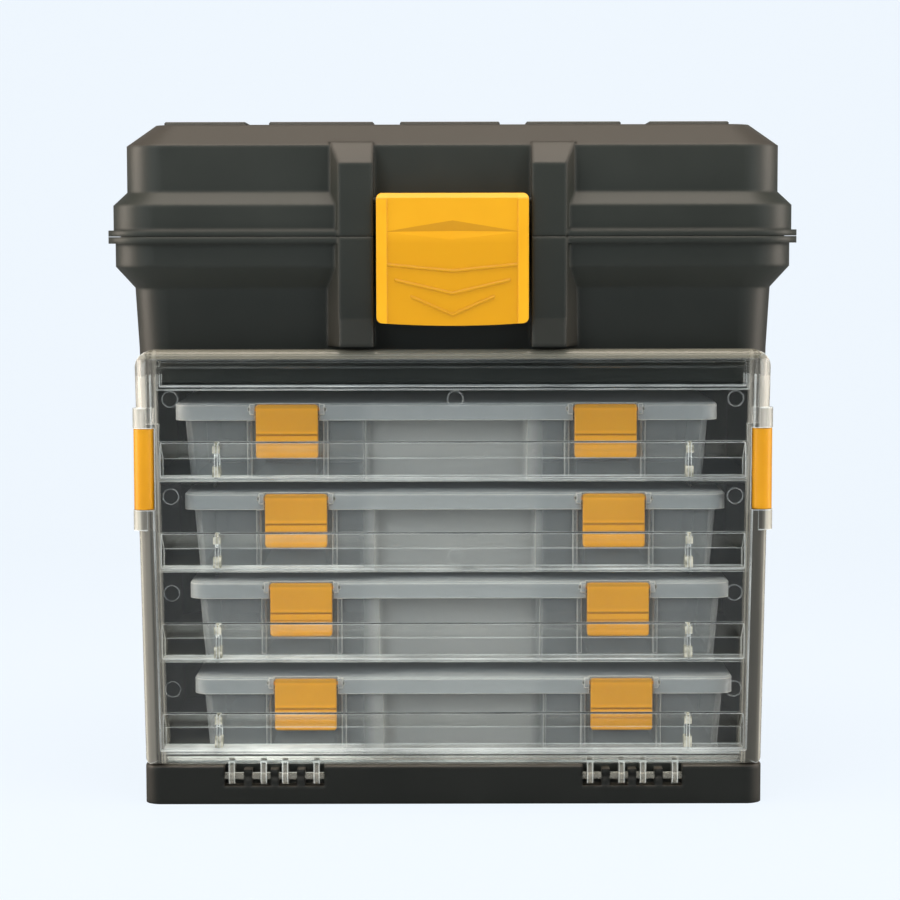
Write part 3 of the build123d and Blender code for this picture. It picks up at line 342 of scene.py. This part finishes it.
def milky_plastic(name, tone, cover, middle=0.0):
    """Tone is how pale it is, cover how much it hides, middle how much more in its front's middle."""
    tub_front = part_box("case_1_tub")[0][1]
    frost_half, frost_fade, front_depth, depth_fade = 0.048, 0.010, 0.0229, 0.005
    front_line = tub_front + front_depth
    mix = Moulded(name)
    rounded = mix.bevelled(0.0011)
    edge_highlight = edge_light(mix, rounded)
    cloud = mix.ramp(mix.noise(9.0, 3.0), (
        (0.0, (tone * 0.90, tone * 0.96, tone * 1.0)),
        (1.0, (tone * 1.02, tone * 1.06, tone * 1.09)),
    ))
    spot = mix.split("Object")
    in_middle = mix.scaled(mix.calc("ABSOLUTE", spot["X"]), frost_half + frost_fade, frost_half)
    in_front = mix.scaled(spot["Y"], front_line + depth_fade, front_line, 0.0, middle)
    frost = mix.calc("MULTIPLY", in_middle, in_front)
    slanting = mix.add("LayerWeight", {"Blend": 0.35})["Facing"]
    # The painted edge highlight also makes the edges less see-through.
    dense = mix.calc("MAXIMUM", mix.scaled(slanting, 0.0, 1.0, cover, 0.95), edge_highlight)
    ripple = mix.add("Bump", {
        "Strength": 0.08, "Distance": 0.0004, "Height": mix.noise(70.0), "Normal": rounded,
    })
    # Painted highlight whitens the edges, and the real frost whitens the front's middle.
    frost_and_highlight_white = (tone * 1.7, tone * 1.62, tone * 1.5, 1)
    return mix.finish(mix.add("BsdfPrincipled", {
        "Base Color": mix.tinted(mix.calc("MAXIMUM", edge_highlight, frost), cloud["Color"], frost_and_highlight_white),
        "Roughness": 0.32,
        "Alpha": mix.calc("ADD", dense, frost, use_clamp=True),
        "Normal": ripple["Normal"],
    })[0])


milky_tub = milky_plastic("milky_tub", 0.40, 0.30, 0.4)
milky_lid = milky_plastic("milky_lid", 0.60, 0.42, 0.06)
milky_wall = milky_plastic("milky_divider", 0.3, 0.3)
for number in range(1, 5):
    paint(f"case_{number}_tub", milky_tub)
    paint(f"case_{number}_lid", milky_lid)
    paint(f"case_{number}_dividers", milky_wall)


# Divider slots: pairs of fine ribs moulded on the back wall of each tub, that hold the dividers.
# Same milky plastic as the tub; they lean with the wall's draft and are set by Geometry Nodes.
def repeat_tree():
    """A node tree that repeats a pair of small blocks in a row."""
    tree = bpy.data.node_groups.new("moulded_repeats", "GeometryNodeTree")
    for name, kind in (
        ("Count", "Int"), ("Start", "Vector"), ("Step", "Vector"), ("Gap", "Float"), ("Block", "Vector"),
        ("Lean", "Float"), ("Seed", "Int"), ("Material", "Material"),
    ):
        tree.interface.new_socket(name=name, in_out="INPUT", socket_type="NodeSocket" + kind)
    tree.interface.new_socket(name="Geometry", in_out="OUTPUT", socket_type="NodeSocketGeometry")
    add, link = tree.nodes.new, tree.links.new
    given, result = add("NodeGroupInput"), add("NodeGroupOutput")

    block = add("GeometryNodeMeshCube")
    link(given.outputs["Block"], block.inputs["Size"])
    pair = add("GeometryNodeJoinGeometry")
    for sign in (-0.5, 0.5):
        half = add("ShaderNodeMath")
        half.operation = "MULTIPLY"
        half.inputs[1].default_value = sign
        link(given.outputs["Gap"], half.inputs[0])
        shift = add("ShaderNodeCombineXYZ")
        link(half.outputs[0], shift.inputs[0])
        moved = add("GeometryNodeTransform")
        link(block.outputs["Mesh"], moved.inputs["Geometry"])
        link(shift.outputs[0], moved.inputs["Translation"])
        link(moved.outputs["Geometry"], pair.inputs["Geometry"])

    row = add("GeometryNodeMeshLine")
    link(given.outputs["Count"], row.inputs["Count"])
    link(given.outputs["Start"], row.inputs["Start Location"])
    link(given.outputs["Step"], row.inputs["Offset"])
    lean = add("ShaderNodeCombineXYZ")
    link(given.outputs["Lean"], lean.inputs[0])
    wander = add("FunctionNodeRandomValue")
    wander.data_type = "FLOAT_VECTOR"
    wander.inputs[0].default_value = (1.0, 1.0, 0.98)
    wander.inputs[1].default_value = (1.0, 1.0, 1.0)
    link(given.outputs["Seed"], wander.inputs["Seed"])
    spread = add("GeometryNodeInstanceOnPoints")
    link(row.outputs["Mesh"], spread.inputs["Points"])
    link(pair.outputs["Geometry"], spread.inputs["Instance"])
    link(lean.outputs[0], spread.inputs["Rotation"])
    link(wander.outputs[0], spread.inputs["Scale"])

    real = add("GeometryNodeRealizeInstances")
    link(spread.outputs["Instances"], real.inputs["Geometry"])
    dressed = add("GeometryNodeSetMaterial")
    link(real.outputs["Geometry"], dressed.inputs["Geometry"])
    link(given.outputs["Material"], dressed.inputs["Material"])
    link(dressed.outputs["Geometry"], result.inputs["Geometry"])
    return tree


def grow(name, tree, values, place):
    """A plain mesh from a node tree with its named inputs set, moved to its place in the frame."""
    piece = bpy.data.objects.new(name, bpy.data.meshes.new(name + "_seed"))
    scene.collection.objects.link(piece)
    grown = piece.modifiers.new("grown", "NODES")
    grown.node_group = tree
    for socket in tree.interface.items_tree:
        if socket.item_type == "SOCKET" and socket.in_out == "INPUT" and socket.name in values:
            grown[socket.identifier] = values[socket.name]
    piece.update_tag()
    bpy.context.view_layer.update()
    ready = bpy.data.meshes.new_from_object(piece.evaluated_get(bpy.context.evaluated_depsgraph_get()))
    piece.modifiers.clear()
    ready.transform(Matrix.Translation(place))
    piece.data = ready
    return piece


repeats = repeat_tree()
slot_count, slot_pitch, slot_width = 7, 0.04, 0.0042
rib = (0.0011, 0.0018, 0.033)
wall_draft, wall_depth, rib_rise = 4.3, 0.0108, 0.0195
for number in range(1, 5):
    tub = f"case_{number}_tub"
    low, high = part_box(tub)
    ribs = grow(
        f"case_{number}_slots", repeats,
        {
            "Count": slot_count, "Start": (-slot_pitch * (slot_count - 1) / 2, 0, 0),
            "Step": (slot_pitch, 0, 0), "Gap": slot_width, "Block": rib,
            "Lean": math.radians(-wall_draft), "Seed": 3 + number, "Material": milky_tub,
        },
        ((low[0] + high[0]) / 2, high[1] - wall_depth, low[2] + rib_rise),
    )
    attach(ribs, frame["nodes"][tub]["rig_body"])


# Steel pins: drawn wire in the lid hinges, the latches, the handle and the cases, bright with
# fine lines round the wire. The lid latch's pin is dyed plastic, black as the shells.
def drawn_wire():
    mix = Moulded("drawn_wire")
    lines = mix.ramp(mix.noise(700.0), ((0.0, (0.42, 0.42, 0.42)), (1.0, (0.62, 0.61, 0.6))))["Color"]
    steel = mix.add("BsdfPrincipled", {"Base Color": lines, "Metallic": 1.0, "Roughness": 0.3})
    return mix.finish(steel[0])


wire = drawn_wire()
for node in frame["nodes"]:
    if node == "lid_latch_pin":
        paint(node, black)
    elif "_pin" in node or (node.startswith("case_") and node.endswith("hinge_rod")):
        paint(node, wire)


# Clear door: one polystyrene moulding, glass-like, with a tube-like rim, ledge channels and hinge
# fingers. It bends and mirrors light as solid plastic does, and lets light through to the rack.
# Its hinge rods are a slightly darker clear plastic. Its edges, ledge floors and rim carry
# painted highlights and painted reflections.
door_foot, door_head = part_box("door_panel")
door_top = door_head[2]


def clear_glass(mix, low, high):
    """Solid clear plastic with slight waves, that casts only a faint shadow."""
    swirl = mix.noise(14.0, 2.0)
    tint = mix.ramp(swirl, ((0.0, (low, low * 1.02, low * 1.02)), (1.0, (high, high * 1.01, high * 1.01))))
    glass = mix.add("BsdfPrincipled", {
        "Base Color": tint["Color"],
        "Roughness": 0.04,
        "IOR": 1.5,
        "Transmission Weight": 1.0,
        "Normal": mix.add("Bump", {"Strength": 0.2, "Distance": 0.0005, "Height": swirl})["Normal"],
    })
    unseen = mix.add("BsdfTransparent", {"Color": (0.94, 0.96, 0.96, 1)})
    return mix.over(mix.add("LightPath", {})["Is Shadow Ray"], glass[0], unseen[0])


def painted_door_highlight(mix, spot, facing):
    """Where the door gets painted highlights: its edges, and its ledge floors, brighter to the left;
    and a faint painted light over all but its top.
    """
    band_low, band_high, ledges_high = door_top - 0.0148, door_top - 0.0055, door_top - 0.0065
    lift_start, lift_full, lift_cover = door_top - 0.022, door_top - 0.028, 0.012
    edge_highlight = edge_light(mix, mix.bevelled(0.0013))
    floor = mix.scaled(facing["Z"], 0.9, 0.99, 0.0, 1.1)
    under_top = mix.calc("LESS_THAN", spot["Z"], ledges_high)
    leftward = mix.scaled(spot["X"], -0.13, -0.03, 1.0, 0.22)
    ledges = mix.calc("MULTIPLY", floor, mix.calc("MULTIPLY", leftward, under_top))
    # The flat band under the top rim stays dark.
    above_band_low = mix.calc("GREATER_THAN", spot["Z"], band_low)
    in_band = mix.calc("MULTIPLY", above_band_low, mix.calc("LESS_THAN", spot["Z"], band_high))
    quiet = mix.calc("MULTIPLY_ADD", in_band, -0.85, 1.0)
    strong = mix.calc("MULTIPLY", mix.calc("MAXIMUM", ledges, edge_highlight), quiet)
    uneven = mix.scaled(mix.noise(30.0, 3.0), 0.3, 0.7, 0.35, 0.9)
    # Painted light: a faint white layer over the door below its top band lifts the dark rack seen through
    # it.
    painted_lift = mix.scaled(spot["Z"], lift_start, lift_full, 0.0, lift_cover)
    return mix.calc("MAXIMUM", mix.calc("MULTIPLY", strong, uneven), painted_lift)


def rim_reflections_and_haze(mix, spot, facing):
    """Colour and cover of the tube-like rim: upright stripes of painted reflection and painted shade,
    by how far in from its edge a spot is.
    """
    latch_foot, latch_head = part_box("door_latch_right")
    low_full, low_start = latch_foot[2] + 0.0087, latch_head[2] + 0.0047
    cap_low, cap_high = door_top - 0.0162, door_top - 0.0154
    rim_low, rim_high = door_top - 0.0058, door_top - 0.0050
    base_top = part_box("base_plinth")[1][2]
    finger_top, finger_hazy = base_top + 0.0015, base_top - 0.0005
    olive_reflection = (0.20, 0.185, 0.13, 1)
    # The door widens upwards, so its outer edge is a straight line that leans out.
    edge_at_foot, widening, border = 0.1881, 0.017, 0.0145
    outer_edge = mix.calc("MULTIPLY_ADD", spot["Z"], -widening, -edge_at_foot)
    inward = mix.calc("ADD", mix.calc("ABSOLUTE", spot["X"]), outer_edge)
    across = mix.scaled(inward, 0.0, -border)

    def stripes(warmth, *stops):
        shades = [(place, (tone, tone * 0.95, tone * warmth)) for place, tone in stops]
        return mix.ramp(across, shades)["Color"]

    high_tone = stripes(
        0.84, (0.0, 0.55), (0.1, 0.72), (0.46, 0.66), (0.55, 0.05), (0.63, 0.36), (0.7, 0.05),
        (0.86, 0.6), (1.0, 0.3),
    )
    high_cover = stripes(
        0.84, (0.0, 0.5), (0.1, 0.66), (0.46, 0.55), (0.55, 0.5), (0.63, 0.35), (0.7, 0.4),
        (0.86, 0.5), (1.0, 0.0),
    )
    low_tone = stripes(
        0.8, (0.0, 0.5), (0.1, 0.45), (0.18, 0.11), (0.3, 0.05), (0.7, 0.045), (0.76, 0.34), (0.8, 0.1),
        (0.88, 0.34), (0.93, 0.1), (1.0, 0.3),
    )
    low_cover = stripes(
        0.8, (0.0, 0.75), (0.1, 0.75), (0.18, 0.85), (0.3, 0.95), (0.7, 0.95), (0.76, 0.6), (0.8, 0.7),
        (0.88, 0.6), (0.93, 0.6), (1.0, 0.0),
    )

    # The low stripes, with a painted reflection of the dark shell in them,
    # take over below the side latches.
    on_right = mix.calc("GREATER_THAN", spot["X"], 0.0)
    low_left = mix.scaled(spot["Z"], low_full, low_start, 0.85, 0.0)
    low_right = mix.scaled(spot["Z"], low_full, low_start, 1.0, 0.25)
    lowness = mix.add("Mix", {0: on_right, 2: low_left, 3: low_right}, data_type="FLOAT")[0]
    runs = mix.scaled(mix.noise(1.0, 3.0, (300.0, 300.0, 9.0)), 0.3, 0.62, 0.35, 1.0)
    capped = mix.scaled(spot["Z"], cap_low, cap_high, 1.0, 0.5)
    high_share = mix.calc("MULTIPLY", mix.calc("MULTIPLY", high_cover, runs), capped)
    share = mix.add("Mix", {0: lowness, 2: high_share, 3: low_cover}, data_type="FLOAT")[0]
    on_flank = mix.scaled(mix.calc("ABSOLUTE", facing["X"]), 0.85, 0.99, 1.0, 0.3)
    share = mix.calc("MULTIPLY", share, on_flank)

    # The top of the rim is a soft olive band of painted reflection, and the hinge fingers are hazy.
    rim_top = mix.scaled(spot["Z"], rim_low, rim_high, 0.0, 0.6)
    fingers = mix.scaled(spot["Z"], finger_top, finger_hazy, 0.0, 0.42)
    tone = mix.tinted(rim_top, mix.tinted(lowness, high_tone, low_tone), olive_reflection)
    return tone, mix.calc("MAXIMUM", share, mix.calc("MAXIMUM", rim_top, fingers))


def clear_plastic(name, low, high):
    mix = Moulded(name)
    spot, facing = mix.split("Object"), mix.split("Normal")
    tone, cover = rim_reflections_and_haze(mix, spot, facing)
    reflections_and_haze = mix.add("BsdfPrincipled", {"Base Color": tone, "Roughness": 0.25, "Specular IOR Level": 0.2})
    # The white that the painted highlights show.
    lit = mix.add("BsdfPrincipled", {"Base Color": (0.86, 0.90, 0.89, 1), "Roughness": 0.15})
    rimmed = mix.over(cover, clear_glass(mix, low, high), reflections_and_haze[0])
    return mix.finish(mix.over(painted_door_highlight(mix, spot, facing), rimmed, lit[0]))


paint("door_panel", clear_plastic("clear_door", 0.90, 0.97))
clear_rod = clear_plastic("clear_rod", 0.82, 0.9)
for side in ("left", "right"):
    paint(f"door_hinge_rod_{side}", clear_rod)


# Feet and heads of the short fins in the door's ledges: the fins thicken where they meet the
# ledge floor and the slope above it, and these ends carry a painted highlight as pale beige blocks.
def painted_fin_highlights():
    mix = Moulded("fin_ends")
    cloud = mix.ramp(mix.noise(240.0), ((0.35, (0.22, 0.22, 0.17)), (0.6, (0.62, 0.60, 0.50))))["Color"]
    # Painted highlight: the fin ends are pale beige and nearly opaque.
    fin_highlight = mix.add("BsdfPrincipled", {"Base Color": cloud, "Roughness": 0.2, "Alpha": 0.8})
    return mix.finish(fin_highlight[0])


highlight_beige = painted_fin_highlights()
fin_rows, ledge_pitch, fin_spread = 4, 0.0554, 0.287
for name, block, inward, height in (
    ("fin_feet", (0.0048, 0.0085, 0.0066), 0.0085, 0.0378),
    ("fin_heads", (0.0044, 0.0022, 0.0044), 0.0042, 0.0514),
):
    fin_ends = grow(
        name, repeats,
        {
            "Count": fin_rows, "Start": (0, 0, 0), "Step": (0, 0, ledge_pitch), "Gap": fin_spread,
            "Block": block, "Lean": 0.0, "Seed": 5, "Material": highlight_beige,
        },
        (0.0, door_foot[1] + inward, height),
    )
    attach(fin_ends, "door")
